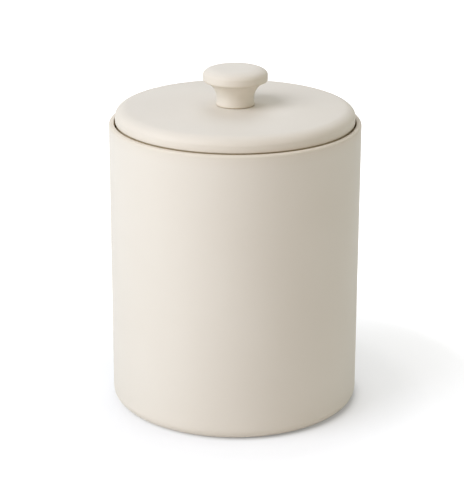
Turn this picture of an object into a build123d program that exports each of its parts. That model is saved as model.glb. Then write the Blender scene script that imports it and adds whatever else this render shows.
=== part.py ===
from build123d import *
import math
import os

# Lidded stoneware jar of pyxis form.
# Sizes in millimetres, +Z up. The origin is the centre of the foot, on the surface the jar stands on.

# Jar body
outer_radius = 60.0
jar_height = 139.1  # top of the lip
jar_wall = 6.0
floor_thickness = 5.5
base_corner_radius = 5.0
inner_corner_radius = 4.0
foot_recess = 1.5  # clearance under the base, inside the foot ring
foot_ring_width = 6.0
foot_ring_round = 0.6
lip_wall = 2.45  # thin lip that stands round the lid
lip_outer_round_share = 0.45
lip_inner_round_share = 0.15
seat_depth = 5.0  # from the top of the lip down to the ledge that carries the lid
seat_root_round = 0.5
seat_edge_round = 0.8

# Lid
lid_gap = 0.55  # between the lid's side and the lip
lid_rise = 3.2  # straight side above the lip
shoulder_reach = 6.0
shoulder_height = 4.0
crown_angle = 2.3  # slope in degrees where the shoulder runs into the crown
lid_wall = 5.1
lid_edge_lift = 0.25  # the side ends this far above the lip
lid_edge_round = 0.3
lid_step = 0.8  # below its side the lid steps in, which leaves a thin shadow line
lid_step_round = 0.2
lid_foot_round = 0.5
flange_gap = 0.8  # between the lid's flange and the inside of the jar
flange_wall = 4.0
flange_depth = 8.0  # below the ledge
flange_edge_round = 1.5
flange_root_round = 0.4
ceiling_round = 4.0

# Knob, from its foot up
knob_neck_radius = 8.95
knob_foot_flare = 0.4  # how far the foot spreads past the neck
knob_foot_flare_radius = 4.0
knob_foot_edge_round = 0.25
knob_neck_length = 1.35  # straight part between the two flares
knob_flare_radius = 8.8
knob_lower_round = 0.9
knob_head_radius = 15.35
knob_band_height = 2.2  # upright part of the head's edge
knob_top_reach = 6.2  # soft upper edge, along the radius
knob_top_drop = 3.1  # soft upper edge, down the side
knob_seat_margin = 0.7  # flat on the lid round the knob's foot

# Soft pad in a pocket under the knob's foot
pad_thickness = 1.0
pad_gap = 0.2  # round the pad in its pocket
knob_foot_rim = 1.6  # wall left round the pocket
knob_seam = 0.2  # the pad holds the foot this far off the lid

# Screw, from below through the lid into the insert
screw_radius = 2.5
screw_length = 16.0
screw_tip_chamfer = 0.5
screw_head_radius = 4.75
screw_head_height = 2.75
screw_head_rim = 0.5
socket_across_flats = 3.0
socket_depth = 1.6
socket_margin = 0.5  # flat face round the socket
hole_gap = 0.75  # round the screw in the fired lid
hole_chamfer = 0.4
tip_room = 3.0  # free depth past the screw's tip

# Threaded insert bonded into the knob
insert_length = 8.0
insert_wall = 1.2
insert_inset = 0.5  # above the pad's pocket
thread_gap = 0.05
bond_gap = 0.1
groove_count = 3
groove_depth = 0.4
groove_width = 1.0

# Washers under the screw's head
washer_gap = 0.25  # round the screw
screw_washer_radius = 7.5
screw_washer_thickness = 1.2
lid_washer_radius = 9.0
lid_washer_thickness = 1.5

cut_overrun = 1.0  # how far a cut runs past the face that it opens

# Jar: places that follow from the sizes
inner_radius = outer_radius - jar_wall
recess_radius = outer_radius - lip_wall
foot_inner_radius = outer_radius - base_corner_radius - foot_ring_width
floor_z = foot_recess + floor_thickness
seat_z = jar_height - seat_depth

# Lid: the shoulder is part of an ellipse that ends where its slope is the crown's
lid_radius = recess_radius - lid_gap
lid_foot_radius = lid_radius - lid_step
lid_step_z = jar_height + lid_edge_lift
flange_radius = inner_radius - flange_gap
flange_bore_radius = flange_radius - flange_wall
flange_end_z = seat_z - flange_depth
shoulder_z = jar_height + lid_rise
shoulder_centre = lid_radius - shoulder_reach
ceiling_z = shoulder_z + shoulder_height - lid_wall
crown_slope = math.radians(crown_angle)
shoulder_turn = math.atan2(shoulder_height, shoulder_reach * math.tan(crown_slope))
crown_start_radius = shoulder_centre + shoulder_reach * math.cos(shoulder_turn)
crown_start_z = shoulder_z + shoulder_height * math.sin(shoulder_turn)
knob_foot_radius = knob_neck_radius + knob_foot_flare
knob_seat_radius = knob_foot_radius + knob_seat_margin
crown_rise = (crown_start_radius - knob_seat_radius) * math.tan(crown_slope / 2)
knob_seat_z = crown_start_z + crown_rise
hole_radius = screw_radius + hole_gap

# Knob: its foot stands on the pad, and the insert ends at the bottom of its hole
knob_foot_z = knob_seat_z + knob_seam
pocket_radius = knob_foot_radius - knob_foot_rim
pocket_top_z = knob_seat_z + pad_thickness
pad_radius = pocket_radius - pad_gap
insert_bore_radius = screw_radius + thread_gap
insert_radius = insert_bore_radius + insert_wall
insert_bottom_z = pocket_top_z + insert_inset
insert_top_z = insert_bottom_z + insert_length

# Fixing: stacked down from the lid's ceiling
screw_washer_top_z = ceiling_z - lid_washer_thickness
screw_head_top_z = screw_washer_top_z - screw_washer_thickness
screw_head_end_z = screw_head_top_z - screw_head_height
screw_tip_z = screw_head_top_z + screw_length
washer_bore_radius = screw_radius + washer_gap


def turned(edges):
    """Turn a closed outline, drawn as radius and height, about the Z axis."""
    return revolve(Plane.XZ * make_face(edges), Axis.Z)


def rod(radius, bottom_z, top_z):
    upright = (Align.CENTER, Align.CENTER, Align.MIN)
    return Pos(0, 0, bottom_z) * Cylinder(radius, top_z - bottom_z, align=upright)


def ring(radius, bore_radius, bottom_z, top_z):
    return rod(radius, bottom_z, top_z) - rod(bore_radius, bottom_z - cut_overrun, top_z + cut_overrun)


def jar_body():
    # each corner is radius, height and rounding
    corners = [
        (0, foot_recess, 0),
        (foot_inner_radius, foot_recess, foot_ring_round),
        (foot_inner_radius, 0, foot_ring_round),
        (outer_radius, 0, base_corner_radius),
        (outer_radius, jar_height, lip_wall * lip_outer_round_share),
        (recess_radius, jar_height, lip_wall * lip_inner_round_share),
        (recess_radius, seat_z, seat_root_round),
        (inner_radius, seat_z, seat_edge_round),
        (inner_radius, floor_z, inner_corner_radius),
        (0, floor_z, 0),
    ]
    points = [(radius, height) for radius, height, _ in corners]
    roundings = [rounding for _, _, rounding in corners]
    return turned(FilletPolyline(*points, radius=roundings, close=True).edges())


def lid():
    chamfer_radius = hole_radius + hole_chamfer
    # the hole, the ceiling, the flange, the foot and the side, up to where the shoulder starts
    inside = [
        (chamfer_radius, knob_seat_z, 0),
        (hole_radius, knob_seat_z - hole_chamfer, 0),
        (hole_radius, ceiling_z + hole_chamfer, 0),
        (chamfer_radius, ceiling_z, 0),
        (flange_bore_radius, ceiling_z, ceiling_round),
        (flange_bore_radius, flange_end_z, flange_edge_round),
        (flange_radius, flange_end_z, flange_edge_round),
        (flange_radius, seat_z, flange_root_round),
        (lid_foot_radius, seat_z, lid_foot_round),
        (lid_foot_radius, lid_step_z, lid_step_round),
        (lid_radius, lid_step_z, lid_edge_round),
        (lid_radius, shoulder_z, 0),
    ]
    points = [(radius, height) for radius, height, _ in inside]
    roundings = [rounding for _, _, rounding in inside[1:-1]]
    underside = FilletPolyline(*points, radius=roundings)
    shoulder = EllipticalCenterArc(
        (shoulder_centre, shoulder_z),
        shoulder_reach,
        shoulder_height,
        start_angle=0,
        arc_size=math.degrees(shoulder_turn),
    )
    crown = TangentArc(
        (crown_start_radius, crown_start_z),
        (knob_seat_radius, knob_seat_z),
        tangent=(-math.cos(crown_slope), math.sin(crown_slope)),
    )
    knob_seat = Line((knob_seat_radius, knob_seat_z), (chamfer_radius, knob_seat_z))
    return turned(underside.edges() + [shoulder, crown, knob_seat])


def knob():
    # the foot's flare meets the neck upright
    foot_turn = math.acos(1 - knob_foot_flare / knob_foot_flare_radius)
    neck_bottom_z = knob_foot_z + knob_foot_flare_radius * math.sin(foot_turn)
    neck_top_z = neck_bottom_z + knob_neck_length

    # the flare under the head touches the rounding of the head's lower edge
    flare_centre = knob_neck_radius + knob_flare_radius
    edge_centre = knob_head_radius - knob_lower_round
    reach = flare_centre - edge_centre
    edge_z = neck_top_z + math.sqrt((knob_flare_radius + knob_lower_round) ** 2 - reach**2)
    flare_turn = math.degrees(math.atan2(edge_z - neck_top_z, reach))
    band_top_z = edge_z + knob_band_height
    top_z = band_top_z + knob_top_drop
    flat_radius = knob_head_radius - knob_top_reach

    foot_flare_centre = (knob_neck_radius + knob_foot_flare_radius, neck_bottom_z)
    outline = [
        Line((0, knob_foot_z), (knob_foot_radius, knob_foot_z)),
        CenterArc(foot_flare_centre, knob_foot_flare_radius, 180, math.degrees(foot_turn)),
        Line((knob_neck_radius, neck_bottom_z), (knob_neck_radius, neck_top_z)),
        CenterArc((flare_centre, neck_top_z), knob_flare_radius, 180, -flare_turn),
        CenterArc((edge_centre, edge_z), knob_lower_round, -flare_turn, flare_turn),
        Line((knob_head_radius, edge_z), (knob_head_radius, band_top_z)),
        EllipticalCenterArc((flat_radius, band_top_z), knob_top_reach, knob_top_drop, arc_size=90),
        Line((flat_radius, top_z), (0, top_z)),
        Line((0, top_z), (0, knob_foot_z)),
    ]
    solid = turned(outline)
    foot_edge = solid.edges().filter_by(GeomType.CIRCLE).sort_by(Axis.Z)[0]
    solid = fillet(foot_edge, knob_foot_edge_round)

    solid -= rod(pocket_radius, knob_foot_z - cut_overrun, pocket_top_z)
    solid -= rod(insert_radius + bond_gap, knob_foot_z, insert_top_z)
    solid -= rod(hole_radius, knob_foot_z, screw_tip_z + tip_room)
    return solid


def knob_pad():
    return ring(pad_radius, hole_radius, knob_seat_z, pocket_top_z)


def knob_insert():
    solid = ring(insert_radius, insert_bore_radius, insert_bottom_z, insert_top_z)
    # grooves that key the resin, evenly spread along the insert
    for index in range(groove_count):
        middle_z = insert_bottom_z + insert_length * (index + 1) / (groove_count + 1)
        bottom_z = middle_z - groove_width / 2
        groove_radius = insert_radius - groove_depth
        solid -= ring(insert_radius + cut_overrun, groove_radius, bottom_z, bottom_z + groove_width)
    return solid


def knob_screw():
    socket_radius = socket_across_flats / math.sqrt(3)
    face_radius = socket_radius + socket_margin
    rim_z = screw_head_top_z - screw_head_rim
    dome_height = screw_head_height - screw_head_rim
    points = [
        (face_radius, screw_head_end_z),
        (0, screw_head_end_z),
        (0, screw_tip_z),
        (screw_radius - screw_tip_chamfer, screw_tip_z),
        (screw_radius, screw_tip_z - screw_tip_chamfer),
        (screw_radius, screw_head_top_z),
        (screw_head_radius, screw_head_top_z),
        (screw_head_radius, rim_z),
    ]
    dome_reach = screw_head_radius - face_radius
    dome = EllipticalCenterArc((face_radius, rim_z), dome_reach, dome_height, -90, arc_size=90)
    solid = turned(Polyline(*points).edges() + [dome])
    socket = Plane.XY.offset(screw_head_end_z) * RegularPolygon(socket_radius, 6)
    return solid - extrude(socket, socket_depth)


def screw_washer():
    return ring(screw_washer_radius, washer_bore_radius, screw_head_top_z, screw_washer_top_z)


def lid_washer():
    return ring(lid_washer_radius, washer_bore_radius, screw_washer_top_z, ceiling_z)


pieces = {
    "jar_body": jar_body(),
    "lid": lid(),
    "knob": knob(),
    "knob_pad": knob_pad(),
    "knob_insert": knob_insert(),
    "knob_screw": knob_screw(),
    "screw_washer": screw_washer(),
    "lid_washer": lid_washer(),
}

os.makedirs("parts", exist_ok=True)
for name, solid in pieces.items():
    solid.label = name
    export_step(solid, f"parts/{name}.step")

print(f"jar {outer_radius * 2:.1f} across, lip at {jar_height:.1f}, lid seat at {seat_z:.1f}")
print(f"lid top at {knob_seat_z:.2f}, ceiling at {ceiling_z:.2f}, flange end at {flange_end_z:.2f}")
print(f"screw head from {screw_head_end_z:.2f}, tip at {screw_tip_z:.2f}, insert from {insert_bottom_z:.2f}")
print(f"overall height {pieces['knob'].bounding_box().max.Z:.2f}")
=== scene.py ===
# Cream stoneware jar with a drop-in lid and a screwed-on knob, on a pale studio floor.
# Sizes in the dictionaries are in millimetres. Blender works in metres.
import math

import bpy
from mathutils import Matrix, Quaternion, Vector


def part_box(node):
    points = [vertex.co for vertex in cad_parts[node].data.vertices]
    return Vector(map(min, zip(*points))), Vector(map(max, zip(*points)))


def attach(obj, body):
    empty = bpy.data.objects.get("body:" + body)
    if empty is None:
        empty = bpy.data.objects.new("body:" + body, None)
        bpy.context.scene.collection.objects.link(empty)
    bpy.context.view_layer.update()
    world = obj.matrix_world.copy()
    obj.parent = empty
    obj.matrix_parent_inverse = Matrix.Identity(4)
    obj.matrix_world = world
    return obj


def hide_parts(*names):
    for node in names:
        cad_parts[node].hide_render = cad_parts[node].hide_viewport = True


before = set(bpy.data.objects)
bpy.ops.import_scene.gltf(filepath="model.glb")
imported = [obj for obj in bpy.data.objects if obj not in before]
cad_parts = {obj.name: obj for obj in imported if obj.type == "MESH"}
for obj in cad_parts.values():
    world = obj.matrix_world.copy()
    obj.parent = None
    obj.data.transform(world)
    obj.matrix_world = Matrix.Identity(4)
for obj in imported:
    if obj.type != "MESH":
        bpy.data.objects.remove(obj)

mm = 0.001
scene = bpy.context.scene
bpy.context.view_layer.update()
print("frame loaded:", len(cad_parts), "nodes")


def linearColour(hexText):
    # sRGB hex to the linear colour that a shader socket takes
    shares = [int(hexText[start : start + 2], 16) / 255 for start in (1, 3, 5)]
    return tuple(s / 12.92 if s <= 0.04045 else ((s + 0.055) / 1.055) ** 2.4 for s in shares) + (1.0,)


def addNode(tree, kind, settings=None, inputs=None):
    # a node with its settings, and each input either linked from a socket or set to a value
    node = tree.nodes.new(kind)
    for name, value in (settings or {}).items():
        setattr(node, name, value)
    for name, value in (inputs or {}).items():
        if isinstance(value, bpy.types.NodeSocket):
            tree.links.new(value, node.inputs[name])
        else:
            node.inputs[name].default_value = value
    return node


def addObject(name, data):
    made = bpy.data.objects.new(name, data)
    scene.collection.objects.link(made)
    return made


# The camera stands where the photograph was taken from, and leans a little as that one did
photoCamera = {
    "lens": 130.63,
    "sensor": 36.0,
    "distance": 876.7,
    "elevation": 19.3,  # degrees above the horizon
    "aimHeight": 74.95,
    "roll": 0.2,
    "shiftX": -0.00556,  # the jar stands 3 pixels right of the middle
    "clip": (10.0, 30000.0),
}


def makeCamera(settings):
    data = bpy.data.cameras.new("photoCamera")
    data.lens = settings["lens"]
    data.sensor_width = settings["sensor"]
    data.shift_x = settings["shiftX"]
    data.clip_start, data.clip_end = (distance * mm for distance in settings["clip"])
    camera = addObject("photoCamera", data)
    aim = Vector((0, 0, settings["aimHeight"] * mm))
    tilt = math.radians(settings["elevation"])
    back = Vector((0, -math.cos(tilt), math.sin(tilt)))
    camera.location = aim + back * settings["distance"] * mm
    camera.rotation_mode = "QUATERNION"
    roll = Quaternion(back, math.radians(settings["roll"]))
    camera.rotation_quaternion = roll @ (-back).to_track_quat("-Z", "Y")
    scene.camera = camera


makeCamera(photoCamera)
print("camera placed")

noiseSpan = (0.3, 0.7)  # nearly all of a noise texture's values lie in here


def startMaterial(name):
    material = bpy.data.materials.new(name)
    material.use_nodes = True
    material.node_tree.nodes.clear()
    return material, material.node_tree


def distanceFromAxis(tree, place, sideways=0.0):
    # how far a place is from the jar's axis, or from a line that stands to the right of it
    level = addNode(
        tree,
        "ShaderNodeVectorMath",
        {"operation": "MULTIPLY_ADD"},
        {0: place, 1: (1, 1, 0), 2: (-sideways * mm, 0, 0)},
    )
    length = addNode(tree, "ShaderNodeVectorMath", {"operation": "LENGTH"}, {0: level.outputs[0]})
    return length.outputs["Value"]


# Satin stoneware glaze: a tin-white glaze tinted cream, poured and fired matt, so that it gives a wide soft
# sheen and no mirror image. It lies thinner and warmer over tight edges, and drifts slowly to a thicker tone
# here and there.
glazeLook = {
    "body": "#DAD2C4",
    "thick": "#DED7CA",
    "thin": "#D7CDBC",
    "roughness": (0.54, 0.62),
    "ior": 1.45,
    "drift": 38.0,  # how far apart the slow changes of tone are
    "peel": 2.6,  # orange peel, drawn twice as coarse as it is so that it shows
    "peelDepth": 0.004,
}


def satinGlaze(name, look, shift):
    material, tree = startMaterial(name)
    place = addNode(tree, "ShaderNodeTexCoord")
    moved = addNode(tree, "ShaderNodeMapping", {}, {"Vector": place.outputs["Object"], "Location": shift})
    drift = addNode(
        tree,
        "ShaderNodeTexNoise",
        {},
        {"Vector": moved.outputs[0], "Scale": 1 / (look["drift"] * mm), "Detail": 2.0, "Roughness": 0.4},
    )
    peel = addNode(
        tree,
        "ShaderNodeTexNoise",
        {},
        {"Vector": moved.outputs[0], "Scale": 1 / (look["peel"] * mm), "Detail": 1.0, "Roughness": 0.5},
    )
    tone = addNode(
        tree,
        "ShaderNodeMix",
        {"data_type": "RGBA"},
        {0: drift.outputs["Fac"], 6: linearColour(look["body"]), 7: linearColour(look["thick"])},
    )
    thinness = addNode(tree, "ShaderNodeAttribute", {"attribute_name": "glazeThin"})
    broken = addNode(
        tree,
        "ShaderNodeMix",
        {"data_type": "RGBA"},
        {0: thinness.outputs["Fac"], 6: tone.outputs[2], 7: linearColour(look["thin"])},
    )
    smoothest, dullest = look["roughness"]
    dullness = addNode(
        tree,
        "ShaderNodeMapRange",
        {},
        {
            "Value": drift.outputs["Fac"],
            "From Min": noiseSpan[0],
            "From Max": noiseSpan[1],
            "To Min": dullest,
            "To Max": smoothest,
        },
    )
    bump = addNode(
        tree,
        "ShaderNodeBump",
        {},
        {"Height": peel.outputs["Fac"], "Strength": 1.0, "Distance": look["peelDepth"] * mm},
    )
    shader = addNode(
        tree,
        "ShaderNodeBsdfPrincipled",
        {},
        {
            "Base Color": broken.outputs[2],
            "Roughness": dullness.outputs[0],
            "Normal": bump.outputs[0],
            "IOR": look["ior"],
        },
    )
    addNode(tree, "ShaderNodeOutputMaterial", {}, {"Surface": shader.outputs[0]})
    return material


# Bare stoneware: buff clay that was sponged clean of glaze and fired, so it is dull and slightly sandy
clayLook = {
    "clay": "#C9B897",
    "grit": "#A8916C",
    "gritSpan": (0.55, 0.75),  # of the noise, from bare of grit to full of it
    "gritShare": 0.6,
    "grain": 1.4,
    "grainDepth": 0.02,
    "roughness": 0.85,
}


def bareStoneware(name, look):
    material, tree = startMaterial(name)
    place = addNode(tree, "ShaderNodeTexCoord")
    grain = addNode(
        tree,
        "ShaderNodeTexNoise",
        {},
        {"Vector": place.outputs["Object"], "Scale": 1 / (look["grain"] * mm), "Detail": 4.0},
    )
    grit = addNode(
        tree,
        "ShaderNodeMapRange",
        {},
        {
            "Value": grain.outputs["Fac"],
            "From Min": look["gritSpan"][0],
            "From Max": look["gritSpan"][1],
            "To Max": look["gritShare"],
        },
    )
    colour = addNode(
        tree,
        "ShaderNodeMix",
        {"data_type": "RGBA"},
        {0: grit.outputs[0], 6: linearColour(look["clay"]), 7: linearColour(look["grit"])},
    )
    bump = addNode(
        tree,
        "ShaderNodeBump",
        {},
        {"Height": grain.outputs["Fac"], "Strength": 1.0, "Distance": look["grainDepth"] * mm},
    )
    shader = addNode(
        tree,
        "ShaderNodeBsdfPrincipled",
        {},
        {"Base Color": colour.outputs[2], "Roughness": look["roughness"], "Normal": bump.outputs[0]},
    )
    addNode(tree, "ShaderNodeOutputMaterial", {}, {"Surface": shader.outputs[0]})
    return material


# Turned and rolled metal: the tool leaves fine rings round the axis, drawn here coarser than they are
metalLooks = {
    "machinedStainless": {
        "bright": "#C9C8C5",
        "dull": "#B3B1AC",
        "roughness": (0.24, 0.36),
        "ring": 0.35,
        "ringDepth": 0.003,
        "cloud": 2.0,
    },
    "turnedBrass": {
        "bright": "#D9B56C",
        "dull": "#C09A50",
        "roughness": (0.26, 0.4),
        "ring": 0.3,
        "ringDepth": 0.003,
        "cloud": 2.0,
    },
}


def turnedMetal(name, look):
    material, tree = startMaterial(name)
    place = addNode(tree, "ShaderNodeTexCoord")
    split = addNode(tree, "ShaderNodeSeparateXYZ", {}, {0: place.outputs["Object"]})
    radius = distanceFromAxis(tree, place.outputs["Object"])
    along = addNode(tree, "ShaderNodeCombineXYZ", {}, {0: radius, 2: split.outputs[2]})
    rings = addNode(
        tree,
        "ShaderNodeTexNoise",
        {},
        {"Vector": along.outputs[0], "Scale": 1 / (look["ring"] * mm), "Detail": 3.0, "Roughness": 0.6},
    )
    cloud = addNode(
        tree,
        "ShaderNodeTexNoise",
        {},
        {"Vector": place.outputs["Object"], "Scale": 1 / (look["cloud"] * mm), "Detail": 2.0},
    )
    colour = addNode(
        tree,
        "ShaderNodeMix",
        {"data_type": "RGBA"},
        {0: cloud.outputs["Fac"], 6: linearColour(look["bright"]), 7: linearColour(look["dull"])},
    )
    smoothest, dullest = look["roughness"]
    dullness = addNode(
        tree,
        "ShaderNodeMapRange",
        {},
        {
            "Value": rings.outputs["Fac"],
            "From Min": noiseSpan[0],
            "From Max": noiseSpan[1],
            "To Min": smoothest,
            "To Max": dullest,
        },
    )
    bump = addNode(
        tree,
        "ShaderNodeBump",
        {},
        {"Height": rings.outputs["Fac"], "Strength": 1.0, "Distance": look["ringDepth"] * mm},
    )
    shader = addNode(
        tree,
        "ShaderNodeBsdfPrincipled",
        {},
        {
            "Base Color": colour.outputs[2],
            "Metallic": 1.0,
            "Roughness": dullness.outputs[0],
            "Normal": bump.outputs[0],
        },
    )
    addNode(tree, "ShaderNodeOutputMaterial", {}, {"Surface": shader.outputs[0]})
    return material


# Moulded silicone rubber: off-white, waxy and a little dusty, with the fine matt skin of the mould
siliconeLook = {
    "clean": "#DEDBD1",
    "dusty": "#CFCABD",
    "patch": 4.0,
    "skin": 0.5,
    "skinDepth": 0.01,
    "roughness": 0.6,
    "ior": 1.41,
}


def mouldedSilicone(name, look):
    material, tree = startMaterial(name)
    place = addNode(tree, "ShaderNodeTexCoord")
    patch, skin = (
        addNode(
            tree,
            "ShaderNodeTexNoise",
            {},
            {"Vector": place.outputs["Object"], "Scale": 1 / (look[size] * mm), "Detail": 3.0},
        )
        for size in ("patch", "skin")
    )
    colour = addNode(
        tree,
        "ShaderNodeMix",
        {"data_type": "RGBA"},
        {0: patch.outputs["Fac"], 6: linearColour(look["clean"]), 7: linearColour(look["dusty"])},
    )
    bump = addNode(
        tree,
        "ShaderNodeBump",
        {},
        {"Height": skin.outputs["Fac"], "Strength": 1.0, "Distance": look["skinDepth"] * mm},
    )
    shader = addNode(
        tree,
        "ShaderNodeBsdfPrincipled",
        {},
        {
            "Base Color": colour.outputs[2],
            "Roughness": look["roughness"],
            "IOR": look["ior"],
            "Normal": bump.outputs[0],
        },
    )
    addNode(tree, "ShaderNodeOutputMaterial", {}, {"Surface": shader.outputs[0]})
    return material


stainless = turnedMetal("machinedStainless", metalLooks["machinedStainless"])
brass = turnedMetal("turnedBrass", metalLooks["turnedBrass"])
silicone = mouldedSilicone("mouldedSilicone", siliconeLook)
jarGlaze = satinGlaze("satinGlazeOnJar", glazeLook, (0, 0, 0))
lidGlaze = satinGlaze("satinGlazeOnLid", glazeLook, (0.3, 0, 0))
knobGlaze = satinGlaze("satinGlazeOnKnob", glazeLook, (0, 0.3, 0))
clay = bareStoneware("bareStoneware", clayLook)
print("materials made")

# Turning: an outline of radius and height becomes a closed pot
turning = {
    "columns": 192,
    "arcStep": 9.0,  # degrees of an outline's rounding between two rows
    "edgeRow": 0.5,  # the first row beside a rounding
    "rowSpacing": 5.0,
    "thinReach": 1.2,  # how far a tight edge thins the glaze
    "sharpBend": 35.0,  # degrees between two faces that meet at a crisp edge
    "weld": 0.001,  # points nearer than this are one point of the finished pot
    "shortestRun": 1e-6,  # and rows nearer than this are one row of its outline
    "crestShare": 1 / 8,  # of a thread's pitch, the flat on its crest
    "rootShare": 1 / 4,  # and the flat at its root
}
margin = 0.1  # how far a zone of an outline reaches past the rows that it marks


def turningTree():
    tree = bpy.data.node_groups.new("turnedOutline", "GeometryNodeTree")
    for label, kind in (
        ("Outline", "Geometry"),
        ("Columns", "Int"),
        ("Thread Pitch", "Float"),
        ("Finish", "Material"),
        ("Bare Finish", "Material"),
    ):
        tree.interface.new_socket(label, in_out="INPUT", socket_type="NodeSocket" + kind)
    tree.interface.new_socket("Turned", in_out="OUTPUT", socket_type="NodeSocketGeometry")
    start = addNode(tree, "NodeGroupInput")
    outline = start.outputs["Outline"]
    counted = addNode(tree, "GeometryNodeAttributeDomainSize", {"component": "MESH"}, {"Geometry": outline})
    rows = counted.outputs["Point Count"]
    # the first and the last line of points meet, and are welded later
    lines = addNode(tree, "FunctionNodeIntegerMath", {"operation": "ADD"}, {0: start.outputs["Columns"], 1: 1})
    grid = addNode(tree, "GeometryNodeMeshGrid", {}, {"Vertices X": lines.outputs[0], "Vertices Y": rows})
    index = addNode(tree, "GeometryNodeInputIndex")
    row = addNode(tree, "FunctionNodeIntegerMath", {"operation": "MODULO"}, {0: index.outputs[0], 1: rows})
    column = addNode(
        tree, "FunctionNodeIntegerMath", {"operation": "DIVIDE_FLOOR"}, {0: index.outputs[0], 1: rows}
    )
    # the share of the turn at which each point stands
    share = addNode(
        tree,
        "ShaderNodeMath",
        {"operation": "DIVIDE"},
        {0: column.outputs[0], 1: start.outputs["Columns"]},
    ).outputs[0]
    position = addNode(tree, "GeometryNodeInputPosition")
    onOutline = addNode(
        tree,
        "GeometryNodeSampleIndex",
        {"data_type": "FLOAT_VECTOR", "domain": "POINT"},
        {"Geometry": outline, "Value": position.outputs[0], "Index": row.outputs[0]},
    ).outputs["Value"]
    marks = {}
    for label in ("bareClay", "glazeThin", "threaded", "sixSided"):
        drawn = addNode(tree, "GeometryNodeInputNamedAttribute", {"data_type": "FLOAT"}, {"Name": label})
        marks[label] = addNode(
            tree,
            "GeometryNodeSampleIndex",
            {"data_type": "FLOAT", "domain": "POINT"},
            {"Geometry": outline, "Value": drawn.outputs["Attribute"], "Index": row.outputs[0]},
        ).outputs["Value"]

    # a six-sided row draws its radius in between the six corners
    sixth = math.tau / 6
    flat = share
    for operation, amount in (
        ("MULTIPLY", 6),
        ("FRACT", 0),
        ("SUBTRACT", 0.5),
        ("MULTIPLY", sixth),
        ("COSINE", 0),
    ):
        flat = addNode(tree, "ShaderNodeMath", {"operation": operation}, {0: flat, 1: amount}).outputs[0]
    flat = addNode(tree, "ShaderNodeMath", {"operation": "DIVIDE"}, {0: math.cos(sixth / 2), 1: flat})
    sides = addNode(
        tree,
        "ShaderNodeMix",
        {"data_type": "FLOAT"},
        {0: marks["sixSided"], 2: 1.0, 3: flat.outputs[0]},
    )

    # a threaded row sinks by its share of the radius, in a groove that climbs one pitch a turn
    groove = addNode(tree, "ShaderNodeSeparateXYZ", {}, {0: onOutline}).outputs["Z"]
    for operation, amount in (
        ("DIVIDE", start.outputs["Thread Pitch"]),
        ("SUBTRACT", share),
        ("FRACT", 0),
        ("SUBTRACT", 0.5),
        ("ABSOLUTE", 0),
    ):
        groove = addNode(tree, "ShaderNodeMath", {"operation": operation}, {0: groove, 1: amount}).outputs[0]
    crestEnd, rootStart = turning["crestShare"] / 2, 0.5 - turning["rootShare"] / 2
    groove = addNode(
        tree, "ShaderNodeMapRange", {}, {"Value": groove, "From Min": crestEnd, "From Max": rootStart}
    )
    sunk = addNode(
        tree, "ShaderNodeMath", {"operation": "MULTIPLY"}, {0: groove.outputs[0], 1: marks["threaded"]}
    )
    sunk = addNode(tree, "ShaderNodeMath", {"operation": "SUBTRACT"}, {0: 1.0, 1: sunk.outputs[0]})
    wide = addNode(
        tree, "ShaderNodeMath", {"operation": "MULTIPLY"}, {0: sides.outputs[0], 1: sunk.outputs[0]}
    ).outputs[0]
    scale = addNode(tree, "ShaderNodeCombineXYZ", {}, {0: wide, 1: wide, 2: 1.0})
    scaled = addNode(
        tree, "ShaderNodeVectorMath", {"operation": "MULTIPLY"}, {0: onOutline, 1: scale.outputs[0]}
    )

    angle = addNode(tree, "ShaderNodeMath", {"operation": "MULTIPLY"}, {0: share, 1: math.tau})
    turned = addNode(
        tree,
        "ShaderNodeVectorRotate",
        {"rotation_type": "Z_AXIS"},
        {"Vector": scaled.outputs[0], "Angle": angle.outputs[0]},
    )
    shape = addNode(
        tree, "GeometryNodeSetPosition", {}, {"Geometry": grid.outputs["Mesh"], "Position": turned.outputs[0]}
    ).outputs[0]
    for label in ("bareClay", "glazeThin"):
        shape = addNode(
            tree,
            "GeometryNodeStoreNamedAttribute",
            {"data_type": "FLOAT", "domain": "POINT"},
            {"Geometry": shape, "Name": label, "Value": marks[label]},
        ).outputs[0]
    merged = addNode(
        tree, "GeometryNodeMergeByDistance", {}, {"Geometry": shape, "Distance": turning["weld"] * mm}
    )
    smooth = addNode(tree, "GeometryNodeSetShadeSmooth", {}, {"Geometry": merged.outputs[0]})
    bend = addNode(tree, "GeometryNodeInputMeshEdgeAngle").outputs["Unsigned Angle"]
    sharp = addNode(
        tree,
        "FunctionNodeCompare",
        {"data_type": "FLOAT", "operation": "GREATER_THAN"},
        {0: bend, 1: math.radians(turning["sharpBend"])},
    )
    creased = addNode(
        tree,
        "GeometryNodeStoreNamedAttribute",
        {"data_type": "BOOLEAN", "domain": "EDGE"},
        {"Geometry": smooth.outputs[0], "Name": "sharp_edge", "Value": sharp.outputs[0]},
    )
    real = addNode(tree, "GeometryNodeRealizeInstances", {}, {"Geometry": creased.outputs[0]})
    finished = addNode(
        tree,
        "GeometryNodeSetMaterial",
        {},
        {"Geometry": real.outputs[0], "Material": start.outputs["Finish"]},
    )
    bare = addNode(tree, "GeometryNodeInputNamedAttribute", {"data_type": "FLOAT"}, {"Name": "bareClay"})
    done = addNode(
        tree,
        "GeometryNodeSetMaterial",
        {},
        {
            "Geometry": finished.outputs[0],
            "Selection": bare.outputs["Attribute"],
            "Material": start.outputs["Bare Finish"],
        },
    )
    addNode(tree, "NodeGroupOutput", {}, {"Turned": done.outputs[0]})
    return tree


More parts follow.
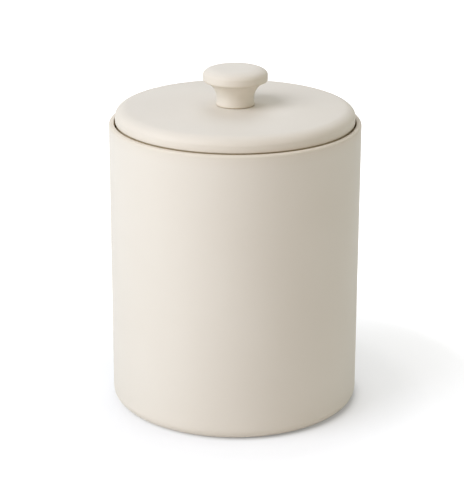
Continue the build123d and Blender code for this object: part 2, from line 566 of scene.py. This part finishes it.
def roundedCorner(before, corner, after, rounding):
    # the rows of an arc that rounds this corner of an outline
    toBefore, toAfter = (before - corner).normalized(), (after - corner).normalized()
    half = toBefore.angle(toAfter) / 2
    centre = corner + (toBefore + toAfter).normalized() * (rounding / math.sin(half))
    start = corner + toBefore * (rounding / math.tan(half))
    turn = (math.pi - 2 * half) * (1 if toBefore.x * toAfter.y - toBefore.y * toAfter.x < 0 else -1)
    steps = max(2, math.ceil(abs(math.degrees(turn)) / turning["arcStep"]))
    return [centre + Matrix.Rotation(turn * step / steps, 2) @ (start - centre) for step in range(steps + 1)]


def roundedOutline(corners):
    # each corner is radius, height and rounding, and the first and last stay sharp
    points = [Vector(corner[:2]) for corner in corners]
    rows = [points[0]]
    for index in range(1, len(corners) - 1):
        rounding = corners[index][2]
        if rounding:
            rows += roundedCorner(points[index - 1], points[index], points[index + 1], rounding)
        else:
            rows.append(points[index])
    return rows + [points[-1]]


def arcRows(centre, reach, height, fromAngle, toAngle):
    # part of an ellipse, with its angles in degrees
    steps = max(2, math.ceil(abs(toAngle - fromAngle) / (turning["arcStep"] / 2)))
    angles = [math.radians(fromAngle + (toAngle - fromAngle) * step / steps) for step in range(steps + 1)]
    return [Vector((centre[0] + reach * math.cos(a), centre[1] + height * math.sin(a))) for a in angles]


def filledRows(rows, spacing):
    # more rows on the straight runs, the first ones close beside the roundings so that these shade cleanly
    filled = [rows[0]]
    for start, end in zip(rows, rows[1:]):
        run = (end - start).length
        if run < turning["shortestRun"]:
            continue
        between = run - 2 * turning["edgeRow"]
        if between > turning["edgeRow"]:
            edge = (end - start) * (turning["edgeRow"] / run)
            inner = max(1, math.ceil(between / spacing))
            first, last = start + edge, end - edge
            filled += [first.lerp(last, step / inner) for step in range(inner + 1)]
        filled.append(end)
    return filled


def glazeThinness(rows):
    # how much the glaze draws back at each row: wholly at a tight outside corner of a right angle
    bends = [0.0] * len(rows)
    for index in range(1, len(rows) - 1):
        a, b = rows[index] - rows[index - 1], rows[index + 1] - rows[index]
        bends[index] = math.atan2(a.x * b.y - a.y * b.x, a.dot(b))
    along = [0.0]
    for start, end in zip(rows, rows[1:]):
        along.append(along[-1] + (end - start).length)
    reach = turning["thinReach"]
    thin = []
    for here in along:
        nearby = sum(bend * math.exp(-(((there - here) / reach) ** 2)) for bend, there in zip(bends, along))
        thin.append(min(1.0, max(0.0, nearby / (math.pi / 2))))
    return thin


def turnedPiece(
    name,
    rows,
    finishes,
    columns=turning["columns"],
    zones=None,
    spacing=turning["rowSpacing"],
    pitch=1.0,
):
    # zones say which rows are bare, threaded or six-sided, each as boxes: least and most radius, least and most
    # height, and a value
    rows = filledRows(rows, spacing)
    mesh = bpy.data.meshes.new(name + "Outline")
    mesh.from_pydata([(p.x * mm, 0, p.y * mm) for p in rows], [(i, i + 1) for i in range(len(rows) - 1)], [])
    marks = {"bareClay": [0.0] * len(rows), "glazeThin": glazeThinness(rows)}
    for label, boxes in (zones or {}).items():
        marks[label] = [
            max(
                [value for a, b, c, d, value in boxes if a <= p.x <= b and c <= p.y <= d],
                key=abs,
                default=0.0,
            )
            for p in rows
        ]
    for label, values in marks.items():
        mesh.attributes.new(label, "FLOAT", "POINT").data.foreach_set("value", values)
    outline = addObject(name + "Outline", mesh)
    modifier = outline.modifiers.new("turning", "NODES")
    modifier.node_group = turningGroup
    values = {
        "Columns": columns,
        "Thread Pitch": pitch * mm,
        "Finish": finishes[0],
        "Bare Finish": finishes[-1],
    }
    for item in turningGroup.interface.items_tree:
        if item.name in values:
            modifier[item.identifier] = values[item.name]
    turned = bpy.data.meshes.new_from_object(outline.evaluated_get(bpy.context.evaluated_depsgraph_get()))
    bpy.data.objects.remove(outline)
    bpy.data.meshes.remove(mesh)
    piece = addObject(name, turned)
    print(name, "turned:", len(rows), "rows,", len(turned.polygons), "faces")
    return piece


turningGroup = turningTree()

jar = {
    "radius": 60.0,
    "height": 139.1,
    "wall": 6.0,
    "floor": 5.5,
    "baseRound": 5.0,
    "insideRound": 4.0,
    "footRecess": 1.5,
    "footWidth": 6.0,
    "footRound": 0.6,
    "lipWall": 2.45,
    "lipOutsideRound": 1.1,
    "lipInsideRound": 0.37,
    "seatDepth": 5.0,
    "seatRootRound": 0.5,
    "seatEdgeRound": 0.8,
    "footGlazeEnd": 0.3,  # the glaze is sponged off below this height
    "seatGlazeEnd": 0.6,  # and inside the lip, this far under its top
}
insideRadius = jar["radius"] - jar["wall"]
recessRadius = jar["radius"] - jar["lipWall"]
footInside = jar["radius"] - jar["baseRound"] - jar["footWidth"]
seatHeight = jar["height"] - jar["seatDepth"]
jarRows = roundedOutline(
    [
        (0, jar["footRecess"], 0),
        (footInside, jar["footRecess"], jar["footRound"]),
        (footInside, 0, jar["footRound"]),
        (jar["radius"], 0, jar["baseRound"]),
        (jar["radius"], jar["height"], jar["lipOutsideRound"]),
        (recessRadius, jar["height"], jar["lipInsideRound"]),
        (recessRadius, seatHeight, jar["seatRootRound"]),
        (insideRadius, seatHeight, jar["seatEdgeRound"]),
        (insideRadius, jar["footRecess"] + jar["floor"], jar["insideRound"]),
        (0, jar["footRecess"] + jar["floor"], 0),
    ]
)
jarZones = {
    "bareClay": [
        (footInside - margin, jar["radius"], -margin, jar["footGlazeEnd"], 1.0),
        (
            insideRadius - margin,
            recessRadius + margin,
            seatHeight - jar["seatEdgeRound"] - margin,
            jar["height"] - jar["seatGlazeEnd"],
            1.0,
        ),
    ]
}
jarPiece = turnedPiece("jarTurned", jarRows, (jarGlaze, clay), zones=jarZones)
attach(jarPiece, "jar")
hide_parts("jar_body")

lid = {
    "gap": 0.55,
    "rise": 3.2,
    "shoulderReach": 6.0,
    "shoulderHeight": 4.0,
    "crownAngle": 2.3,
    "wall": 5.1,
    "edgeLift": 0.25,
    "edgeRound": 0.3,
    "step": 0.8,  # below its side the lid steps in, and a thin shadow line shows there
    "stepRound": 0.2,
    "footRound": 0.5,
    "flangeGap": 0.8,
    "flangeWall": 4.0,
    "flangeDepth": 8.0,
    "flangeEdgeRound": 1.5,
    "flangeRootRound": 0.4,
    "flangeBare": 6.4,  # the lid's foot and this much of the flange under it are wiped clean of glaze
    "ceilingRound": 4.0,
    "holeRadius": 3.25,
    "holeChamfer": 0.4,
}
# the knob's foot is needed here, because the lid has a flat for it
knob = {
    "neckRadius": 8.95,
    "footFlare": 0.4,
    "footFlareRadius": 4.0,
    "footEdgeRound": 0.25,
    "footFlareShare": 0.85,  # of the flare's turn, above the soft edge of the foot
    "neckLength": 1.35,
    "flareRadius": 8.8,
    "lowerRound": 0.9,
    "headRadius": 15.35,
    "bandHeight": 2.2,
    "topReach": 6.2,
    "topDrop": 3.1,
    "seatMargin": 0.7,
    "seam": 0.2,
    "footRim": 1.6,
    "pocketDepth": 0.8,
    "insertHoleRadius": 3.85,
    "insertHoleDepth": 9.3,
    "screwHoleDepth": 10.75,
    "columns": 160,
}
lidRadius = recessRadius - lid["gap"]
lidFootRadius = lidRadius - lid["step"]
stepHeight = jar["height"] + lid["edgeLift"]
flangeOutside = insideRadius - lid["flangeGap"]
flangeInside = flangeOutside - lid["flangeWall"]
shoulderStart = jar["height"] + lid["rise"]
ceilingHeight = shoulderStart + lid["shoulderHeight"] - lid["wall"]
crownSlope = math.radians(lid["crownAngle"])
shoulderTurn = math.atan2(lid["shoulderHeight"], lid["shoulderReach"] * math.tan(crownSlope))
shoulderRows = arcRows(
    (lidRadius - lid["shoulderReach"], shoulderStart),
    lid["shoulderReach"],
    lid["shoulderHeight"],
    0,
    math.degrees(shoulderTurn),
)
footRadius = knob["neckRadius"] + knob["footFlare"]
knobSeatRadius = footRadius + knob["seatMargin"]
crownStart = shoulderRows[-1]
knobSeatHeight = crownStart.y + (crownStart.x - knobSeatRadius) * math.tan(crownSlope / 2)
crownRadius = (crownStart.x - knobSeatRadius) / math.sin(crownSlope)
crownRows = arcRows(
    (knobSeatRadius, knobSeatHeight - crownRadius), crownRadius, crownRadius, 90 - lid["crownAngle"], 90
)
holeMouth = lid["holeRadius"] + lid["holeChamfer"]
lidRows = roundedOutline(
    [
        (holeMouth, knobSeatHeight, 0),
        (lid["holeRadius"], knobSeatHeight - lid["holeChamfer"], 0),
        (lid["holeRadius"], ceilingHeight + lid["holeChamfer"], 0),
        (holeMouth, ceilingHeight, 0),
        (flangeInside, ceilingHeight, lid["ceilingRound"]),
        (flangeInside, seatHeight - lid["flangeDepth"], lid["flangeEdgeRound"]),
        (flangeOutside, seatHeight - lid["flangeDepth"], lid["flangeEdgeRound"]),
        (flangeOutside, seatHeight, lid["flangeRootRound"]),
        (lidFootRadius, seatHeight, lid["footRound"]),
        (lidFootRadius, stepHeight, lid["stepRound"]),
        (lidRadius, stepHeight, lid["edgeRound"]),
        (lidRadius, shoulderStart, 0),
    ]
)
lidRows += shoulderRows[1:] + crownRows[1:] + [Vector((holeMouth, knobSeatHeight))]
lidZones = {
    "bareClay": [
        (
            flangeOutside - margin,
            lidRadius - lid["edgeRound"] - margin,
            seatHeight - lid["flangeBare"],
            stepHeight + margin,
            1.0,
        ),
        (0, holeMouth + margin, ceilingHeight - margin, knobSeatHeight + margin, 1.0),
    ]
}
lidPiece = turnedPiece("lidTurned", lidRows, (lidGlaze, clay), zones=lidZones)
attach(lidPiece, "lid")
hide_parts("lid")

footHeight = knobSeatHeight + knob["seam"]
footTurn = math.acos(1 - knob["footFlare"] / knob["footFlareRadius"])
neckBottom = footHeight + knob["footFlareRadius"] * math.sin(footTurn)
neckTop = neckBottom + knob["neckLength"]
flareCentre = knob["neckRadius"] + knob["flareRadius"]
edgeCentre = knob["headRadius"] - knob["lowerRound"]
edgeHeight = neckTop + math.sqrt(
    (knob["flareRadius"] + knob["lowerRound"]) ** 2 - (flareCentre - edgeCentre) ** 2
)
flareTurn = math.degrees(math.atan2(edgeHeight - neckTop, flareCentre - edgeCentre))
bandTop = edgeHeight + knob["bandHeight"]
knobTop = bandTop + knob["topDrop"]
pocketRadius = footRadius - knob["footRim"]
pocketTop = footHeight + knob["pocketDepth"]
insertHoleTop = pocketTop + knob["insertHoleDepth"] - knob["pocketDepth"]
screwHoleTop = footHeight + knob["screwHoleDepth"]
knobRows = [
    Vector((0, screwHoleTop)),
    Vector((lid["holeRadius"], screwHoleTop)),
    Vector((lid["holeRadius"], insertHoleTop)),
    Vector((knob["insertHoleRadius"], insertHoleTop)),
    Vector((knob["insertHoleRadius"], pocketTop)),
    Vector((pocketRadius, pocketTop)),
    Vector((pocketRadius, footHeight)),
    Vector((footRadius - knob["footEdgeRound"], footHeight)),
]
knobRows += arcRows(
    (knob["neckRadius"] + knob["footFlareRadius"], neckBottom),
    knob["footFlareRadius"],
    knob["footFlareRadius"],
    180 + math.degrees(footTurn) * knob["footFlareShare"],
    180,
)
knobRows += arcRows((flareCentre, neckTop), knob["flareRadius"], knob["flareRadius"], 180, 180 - flareTurn)
knobRows += arcRows((edgeCentre, edgeHeight), knob["lowerRound"], knob["lowerRound"], -flareTurn, 0)
knobRows += arcRows(
    (knob["headRadius"] - knob["topReach"], bandTop), knob["topReach"], knob["topDrop"], 0, 90
)
knobRows.append(Vector((0, knobTop)))
knobZones = {
    "bareClay": [
        (0, pocketRadius + margin, footHeight - margin, screwHoleTop + margin, 1.0),
        (0, footRadius - knob["footEdgeRound"] + margin, footHeight - margin, footHeight + margin, 1.0),
    ]
}
knobPiece = turnedPiece("knobTurned", knobRows, (knobGlaze, clay), knob["columns"], knobZones)
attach(knobPiece, "lid")
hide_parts("knob")

# The fixing, from below: an M5 button head screw with a steel and a soft washer, a soft pad and a brass insert
fixing = {
    "screwRadius": 2.5,
    "screwLength": 16.0,
    "tipChamfer": 0.5,
    "headRadius": 4.75,
    "headHeight": 2.75,
    "headRim": 0.5,
    "headRound": 0.15,
    "socketAcrossFlats": 3.0,
    "socketDepth": 1.6,
    "faceWidth": 0.5,  # the flat round the socket
    "pitch": 0.8,
    "threadShare": 0.18,  # how deep the thread is, of the radius
    "boreThreadShare": -0.09,  # and in the insert's bore, where it goes outwards
    "threadEnds": 0.6,
    "threadRow": 0.07,
    "boreRadius": 2.55,
    "insertRadius": 3.75,
    "insertInset": 0.5,
    "insertLength": 8.0,
    "insertRound": 0.15,
    "insertStart": 0.4,  # its outline starts on its lower face, this far out from the bore
    "grooves": 3,
    "grooveDepth": 0.4,
    "grooveWidth": 1.0,
    "washerBore": 2.75,
    "steelRadius": 7.5,
    "steelThickness": 1.2,
    "steelRound": 0.15,
    "softRadius": 9.0,
    "softThickness": 1.5,
    "padRadius": 7.55,
    "padBore": 3.25,
    "padThickness": 1.0,
    "softRound": 0.3,
    "columns": 96,
}
steelTop = ceilingHeight - fixing["softThickness"]
headTop = steelTop - fixing["steelThickness"]
headEnd = headTop - fixing["headHeight"]
screwTip = headTop + fixing["screwLength"]


def ringRows(radius, bore, bottom, top, rounding):
    middle = (radius + bore) / 2
    return roundedOutline(
        [
            (middle, bottom, 0),
            (radius, bottom, rounding),
            (radius, top, rounding),
            (bore, top, rounding),
            (bore, bottom, rounding),
            (middle, bottom, 0),
        ]
    )


rimHeight = headTop - fixing["headRim"]
socketTop = headEnd + fixing["socketDepth"]
socketRadius = fixing["socketAcrossFlats"] / math.sqrt(3)  # at its six corners
faceRadius = socketRadius + fixing["faceWidth"]
screwRows = [Vector((0, socketTop)), Vector((socketRadius, socketTop)), Vector((socketRadius, headEnd))]
screwRows += arcRows(
    (faceRadius, rimHeight),
    fixing["headRadius"] - faceRadius,
    fixing["headHeight"] - fixing["headRim"],
    -90,
    0,
)
screwRows += roundedOutline(
    [
        (fixing["headRadius"], rimHeight, 0),
        (fixing["headRadius"], headTop, fixing["headRound"]),
        (fixing["screwRadius"], headTop, fixing["headRound"]),
        (fixing["screwRadius"], screwTip - fixing["tipChamfer"], 0),
        (fixing["screwRadius"] - fixing["tipChamfer"], screwTip, 0),
        (0, screwTip, 0),
    ]
)[1:]
screwZones = {
    "sixSided": [(socketRadius - margin, socketRadius + margin, headEnd, socketTop, 1.0)],
    "threaded": [
        (
            fixing["screwRadius"] - margin,
            fixing["screwRadius"] + margin,
            headTop + fixing["threadEnds"],
            screwTip - fixing["threadEnds"],
            fixing["threadShare"],
        )
    ],
}
insertBottom = pocketTop + fixing["insertInset"]
insertTop = insertBottom + fixing["insertLength"]
insertStart = (fixing["boreRadius"] + fixing["insertStart"], insertBottom, 0)
insertCorners = [insertStart, (fixing["insertRadius"], insertBottom, fixing["insertRound"])]
for index in range(fixing["grooves"]):
    middle = insertBottom + fixing["insertLength"] * (index + 1) / (fixing["grooves"] + 1)
    low, high = middle - fixing["grooveWidth"] / 2, middle + fixing["grooveWidth"] / 2
    root = fixing["insertRadius"] - fixing["grooveDepth"]
    insertCorners += [(fixing["insertRadius"], low, fixing["insertRound"] / 2), (root, low, 0)]
    insertCorners += [(root, high, 0), (fixing["insertRadius"], high, fixing["insertRound"] / 2)]
insertCorners += [
    (fixing["insertRadius"], insertTop, fixing["insertRound"]),
    (fixing["boreRadius"], insertTop, fixing["insertRound"]),
    (fixing["boreRadius"], insertBottom, fixing["insertRound"]),
    insertStart,
]
insertZones = {
    "threaded": [
        (
            fixing["boreRadius"] - margin,
            fixing["boreRadius"] + margin,
            insertBottom + fixing["threadEnds"],
            insertTop - fixing["threadEnds"],
            fixing["boreThreadShare"],
        )
    ]
}
fixingPieces = {
    "knob_screw": ("screwTurned", screwRows, stainless, "stainless_steel", screwZones),
    "knob_insert": ("insertTurned", roundedOutline(insertCorners), brass, "brass", insertZones),
    "screw_washer": (
        "steelWasherTurned",
        ringRows(fixing["steelRadius"], fixing["washerBore"], headTop, steelTop, fixing["steelRound"]),
        stainless,
        "stainless_steel",
        None,
    ),
    "lid_washer": (
        "softWasherTurned",
        ringRows(fixing["softRadius"], fixing["washerBore"], steelTop, ceilingHeight, fixing["softRound"]),
        silicone,
        "silicone",
        None,
    ),
    "knob_pad": (
        "knobPadTurned",
        ringRows(
            fixing["padRadius"],
            fixing["padBore"],
            knobSeatHeight,
            knobSeatHeight + fixing["padThickness"],
            fixing["softRound"],
        ),
        silicone,
        "silicone",
        None,
    ),
}
fixingMade = {}
for node, (name, rows, finish, slot, zones) in fixingPieces.items():
    spacing = fixing["threadRow"] if zones else turning["rowSpacing"]
    piece = turnedPiece(name, rows, (finish,), fixing["columns"], zones, spacing, fixing["pitch"])
    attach(piece, "lid")
    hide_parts(node)
    fixingMade[node] = piece

for node, piece in {"jar_body": jarPiece, "lid": lidPiece, "knob": knobPiece, **fixingMade}.items():
    low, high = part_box(node)
    corners = [Vector(c) for c in piece.bound_box]
    madeLow = Vector(min(c[i] for c in corners) for i in range(3))
    madeHigh = Vector(max(c[i] for c in corners) for i in range(3))
    print(node, "differs by", [round(v / mm, 3) for v in (*(madeLow - low), *(madeHigh - high))])

studio = {
    "floorSize": 6000.0,
    "floorDrop": 0.1,
    "floorColour": "#E4E4E4",  # as it lights the jar
    "seenColour": "#B2B2B2",  # as the camera sees it, under the glow
    "worldFill": 0.12,
    "worldTint": (1.05, 1.08, 0.87),
    # the glow that makes the floor white to the camera; it is weak by the jar's foot so that it paints a soft
    # shadow there, and goes by the distance from a middle right of the jar's axis, so the painted shadow is
    # darker on the right
    "paintedShadowMiddle": 3.0,
    "paintedShadowGlow": (
        (56, 0.2),
        (58, 0.39),
        (60, 0.48),
        (62, 0.51),
        (67, 0.54),
        (72, 0.556),
        (80, 0.583),
        (95, 0.66),
        (120, 0.72),
        (150, 1.0),
    ),
    "lampDistance": 1600.0,
    "lampWidth": 1000.0,
    "lampAim": 80.0,  # the height that the softboxes point at
}


def seenRays(tree):
    # 1 where the camera looks, straight or by way of metal or glass, and 0 where light falls on the jar
    ray = addNode(tree, "ShaderNodeLightPath")
    seen = ray.outputs["Is Camera Ray"]
    for other in ("Is Glossy Ray", "Is Transmission Ray"):
        either = addNode(tree, "ShaderNodeMath", {"operation": "MAXIMUM"}, {0: seen, 1: ray.outputs[other]})
        seen = either.outputs[0]
    return seen


def floorMaterial(look):
    # matt white paper: it lights the jar with one colour, while the camera sees a darker copy of it under a
    # glow that is weak close to the jar, which paints a soft shadow round its foot, also in the jar's
    # reflections
    material, tree = startMaterial("paperSweep")
    paper, seenPaper = (
        addNode(tree, "ShaderNodeBsdfDiffuse", {}, {"Color": linearColour(look[colour])})
        for colour in ("floorColour", "seenColour")
    )
    place = addNode(tree, "ShaderNodeTexCoord")
    away = distanceFromAxis(tree, place.outputs["Object"], look["paintedShadowMiddle"])
    low, high = look["paintedShadowGlow"][0][0] * mm, look["paintedShadowGlow"][-1][0] * mm
    along = addNode(tree, "ShaderNodeMapRange", {}, {"Value": away, "From Min": low, "From Max": high})
    ramp = addNode(tree, "ShaderNodeValToRGB", {}, {"Fac": along.outputs[0]})
    stops = ramp.color_ramp.elements  # the first and the last are there from the start
    for distance, white in look["paintedShadowGlow"][1:-1]:
        stops.new((distance * mm - low) / (high - low))
    for stop, (distance, white) in zip(stops, look["paintedShadowGlow"]):
        stop.color = (white, white, white, 1)
    # painted shadow: this emission is dimmer near the jar, so the camera sees a darker floor round its foot
    paintedShadowGlow = addNode(tree, "ShaderNodeEmission", {}, {"Color": ramp.outputs["Color"], "Strength": 1.0})
    both = addNode(tree, "ShaderNodeAddShader", {}, {0: seenPaper.outputs[0], 1: paintedShadowGlow.outputs[0]})
    lit = addNode(
        tree, "ShaderNodeMixShader", {}, {0: seenRays(tree), 1: paper.outputs[0], 2: both.outputs[0]}
    )
    # from below the floor is clear
    clear = addNode(tree, "ShaderNodeBsdfTransparent")
    side = addNode(tree, "ShaderNodeNewGeometry")
    below = addNode(
        tree,
        "ShaderNodeMixShader",
        {},
        {0: side.outputs["Backfacing"], 1: lit.outputs[0], 2: clear.outputs[0]},
    )
    addNode(tree, "ShaderNodeOutputMaterial", {}, {"Surface": below.outputs[0]})
    return material


def makeStudio(look):
    half, drop = look["floorSize"] / 2 * mm, -look["floorDrop"] * mm
    sheet = bpy.data.meshes.new("paperSweep")
    corners = [(-half, -half, drop), (half, -half, drop), (half, half, drop), (-half, half, drop)]
    sheet.from_pydata(corners, [], [(0, 1, 2, 3)])
    sheet.materials.append(floorMaterial(look))
    addObject("paperSweep", sheet)
    world = bpy.data.worlds.new("studioWorld")
    scene.world = world
    world.use_nodes = True
    tree = world.node_tree
    tree.nodes.clear()
    fill = addNode(
        tree,
        "ShaderNodeBackground",
        {},
        {"Color": (*look["worldTint"], 1), "Strength": look["worldFill"]},
    )
    white = addNode(tree, "ShaderNodeBackground", {}, {"Color": (1, 1, 1, 1), "Strength": 1.0})
    both = addNode(
        tree, "ShaderNodeMixShader", {}, {0: seenRays(tree), 1: fill.outputs[0], 2: white.outputs[0]}
    )
    addNode(tree, "ShaderNodeOutputWorld", {}, {"Surface": both.outputs[0]})


# each softbox: azimuth (0 in front, 90 on the right), elevation, power in watts and tint
softboxes = {
    "sideSoftbox": (-60.0, 15.0, 10.1, (0.923, 1.0, 1.077)),
    "keySoftbox": (-60.0, 50.0, 15.0, (0.942, 0.961, 1.097)),
    "frontSoftbox": (0.0, 15.0, 4.1, (1.177, 0.971, 0.851)),
    "rightSoftbox": (90.0, 15.0, 5.0, (0.988, 1.033, 0.979)),
    "highSoftbox": (90.0, 75.0, 2.7, (1.086, 0.991, 0.923)),
    "backSoftbox": (180.0, 50.0, 5.8, (0.894, 0.983, 1.123)),
}


def makeSoftbox(name, look, azimuth, elevation, power, tint):
    data = bpy.data.lights.new(name, "AREA")
    data.shape, data.size, data.energy, data.color = "SQUARE", look["lampWidth"] * mm, power, tint
    lamp = addObject(name, data)
    a, e = math.radians(azimuth), math.radians(elevation)
    out = Vector((math.sin(a) * math.cos(e), -math.cos(a) * math.cos(e), math.sin(e)))
    lamp.location = Vector((0, 0, look["lampAim"] * mm)) + out * (look["lampDistance"] * mm)
    lamp.rotation_mode = "QUATERNION"
    lamp.rotation_quaternion = (-out).to_track_quat("-Z", "Y")


makeStudio(studio)
for name, values in softboxes.items():
    makeSoftbox(name, studio, *values)
scene.view_settings.view_transform = "Standard"
print("studio lit")
